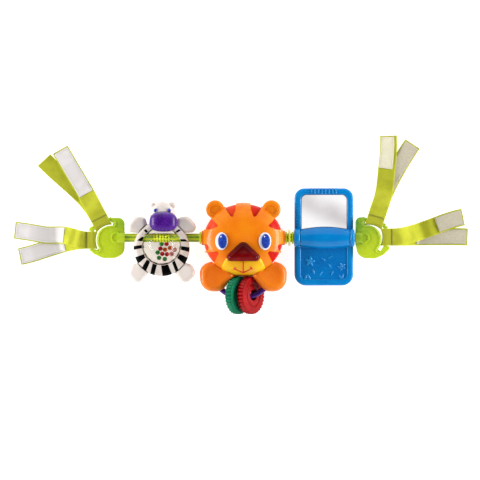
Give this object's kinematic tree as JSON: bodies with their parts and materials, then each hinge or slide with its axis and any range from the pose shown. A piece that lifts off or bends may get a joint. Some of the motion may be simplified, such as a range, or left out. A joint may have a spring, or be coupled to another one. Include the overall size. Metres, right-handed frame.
{
  "type": "baby toy bar",
  "caption": "Toy bar for a pram or baby carrier: spinning zebra rattle, tiger head with press nose and rings on a loop, folding phone with mirror, and webbing straps on end clips.",
  "frame": {"origin": "on the tiger head's flat back, straight below the bar's axis", "axes": "+X along the bar from the zebra to the phone, +Y towards the tops of the animals' heads, +Z out of their faces"},
  "size_m": [0.5021, 0.1969, 0.0478],
  "materials": {
    "lime_plastic": "satin lime",
    "clip_plastic": "satin lime, slightly clear at the edges",
    "lime_webbing": "woven lime webbing",
    "white_patch": "plain white sewn patch",
    "hook_tape": "cream hook and loop tape",
    "zebra_plastic": "warm white with black painted stripes",
    "purple_plastic": "glossy purple",
    "blue_plastic": "glossy blue",
    "clear_plastic": "clear",
    "green_bead": "glossy green",
    "red_bead": "glossy red",
    "orange_plastic": "satin orange",
    "coral_lens": "translucent coral",
    "white_plastic": "glossy white",
    "maroon_lens": "translucent maroon",
    "grey_rubber": "matt silicone",
    "yellow_plastic": "satin yellow with a red painted mouth",
    "circuit_board": "green board",
    "black_metal": "black speaker with a paper cone",
    "battery": "plain AAA cell",
    "steel": "bright",
    "black_plastic": "matt black",
    "green_plastic": "satin green",
    "red_plastic": "satin red",
    "phone_plastic": "glossy blue",
    "mirror": "silvered plastic"
  },
  "bodies": {
    "bar": {"left_bar": "lime_plastic", "right_bar": "lime_plastic", "left_end_clip": "clip_plastic", "right_end_clip": "clip_plastic", "tiger_back_case": "orange_plastic", "tiger_face": "orange_plastic", "stripe_lens": "coral_lens", "left_eye_white": "white_plastic", "right_eye_white": "white_plastic", "left_iris": "blue_plastic", "right_iris": "blue_plastic", "tiger_muzzle": "yellow_plastic", "nose_spring": "grey_rubber", "left_paw": "orange_plastic", "right_paw": "orange_plastic", "circuit_board": "circuit_board", "speaker": "black_metal", "battery_cell_1": "battery", "battery_cell_2": "battery", "battery_door": "orange_plastic", "door_screw": "steel", "ring_loop": "purple_plastic"},
    "zebra": {"zebra_back_shell": "zebra_plastic", "zebra_front_ring": "zebra_plastic", "zebra_head": "zebra_plastic", "zebra_muzzle": "purple_plastic", "zebra_left_eye": "blue_plastic", "zebra_right_eye": "blue_plastic", "ball_front_dome": "clear_plastic", "ball_back_dome": "clear_plastic"},
    "beads": {"bead_1": "green_bead", "bead_2": "red_bead", "bead_3": "red_bead", "bead_4": "red_bead", "bead_5": "green_bead", "bead_6": "green_bead"},
    "nose": {"nose_button": "maroon_lens"},
    "switch": {"power_switch": "black_plastic"},
    "green_ring": {"green_ring": "green_plastic"},
    "red_ring": {"red_ring": "red_plastic"},
    "cover": {"cover_flap": "phone_plastic"},
    "mirror": {"mirror_frame": "phone_plastic", "mirror_plate": "mirror"},
    "left_upper_strap": {"left_upper_strap": "lime_webbing", "left_upper_front_patch": "white_patch", "left_upper_front_pad": "hook_tape", "left_upper_rear_pad": "hook_tape"},
    "left_lower_strap": {"left_lower_strap": "lime_webbing", "left_lower_front_patch": "white_patch", "left_lower_rear_patch": "white_patch", "left_lower_front_pad": "hook_tape", "left_lower_rear_pad": "hook_tape"},
    "right_upper_strap": {"right_upper_strap": "lime_webbing", "right_upper_front_pad": "hook_tape", "right_upper_rear_pad": "hook_tape"},
    "right_lower_strap": {"right_lower_strap": "lime_webbing", "right_lower_front_pad": "hook_tape", "right_lower_rear_pad": "hook_tape"}
  },
  "joints": [
    {"name": "zebra_spin", "type": "hinge", "parent": "bar", "child": "zebra", "pos_m": [-0.0898, 0, 0.0214], "axis": [1, 0, 0], "continuous": true},
    {"name": "bead_roll", "type": "hinge", "parent": "zebra", "child": "beads", "pos_m": [-0.0898, -0.0086, 0.0214], "axis": [1, 0, 0], "range_deg": [-80, 50]},
    {"name": "nose_press", "type": "slide", "parent": "bar", "child": "nose", "axis": [0, 0, -1], "range_m": [0, 0.0015], "stiffness_N_per_m": 600, "springref_m": -0.0005, "deforming": ["nose_spring"]},
    {"name": "power_slide", "type": "slide", "parent": "bar", "child": "switch", "axis": [1, 0, 0], "range_m": [-0.002, 0.002]},
    {"name": "green_ring_spin", "type": "hinge", "parent": "bar", "child": "green_ring", "pos_m": [-0.0058, -0.0633, 0.0202], "axis": [0.8387, 0, 0.5446], "continuous": true},
    {"name": "red_ring_spin", "type": "hinge", "parent": "bar", "child": "red_ring", "pos_m": [0.0083, -0.0633, 0.0202], "axis": [0.809, 0, 0.5878], "continuous": true},
    {"name": "cover_turn", "type": "hinge", "parent": "bar", "child": "cover", "pos_m": [0.08875, 0, 0.0214], "axis": [1, 0, 0], "continuous": true},
    {"name": "mirror_fold", "type": "hinge", "parent": "cover", "child": "mirror", "pos_m": [0.08875, 0, 0.0214], "axis": [1, 0, 0], "range_deg": [0, 178]},
    {"name": "left_upper_strap_swing", "type": "hinge", "parent": "bar", "child": "left_upper_strap", "pos_m": [-0.15547, 0.01552, 0.0214], "axis": [0.8878, 0.4602, 0], "range_deg": [-45, 70]},
    {"name": "left_lower_strap_swing", "type": "hinge", "parent": "bar", "child": "left_lower_strap", "pos_m": [-0.166, -0.0026, 0.0214], "axis": [0, 1, 0], "range_deg": [-45, 70]},
    {"name": "right_upper_strap_swing", "type": "hinge", "parent": "bar", "child": "right_upper_strap", "pos_m": [0.14461, 0.01694, 0.0214], "axis": [0.9573, -0.289, 0], "range_deg": [-45, 70]},
    {"name": "right_lower_strap_swing", "type": "hinge", "parent": "bar", "child": "right_lower_strap", "pos_m": [0.1566, 0.0008, 0.0214], "axis": [0, -1, 0], "range_deg": [-45, 70]}
  ]
}
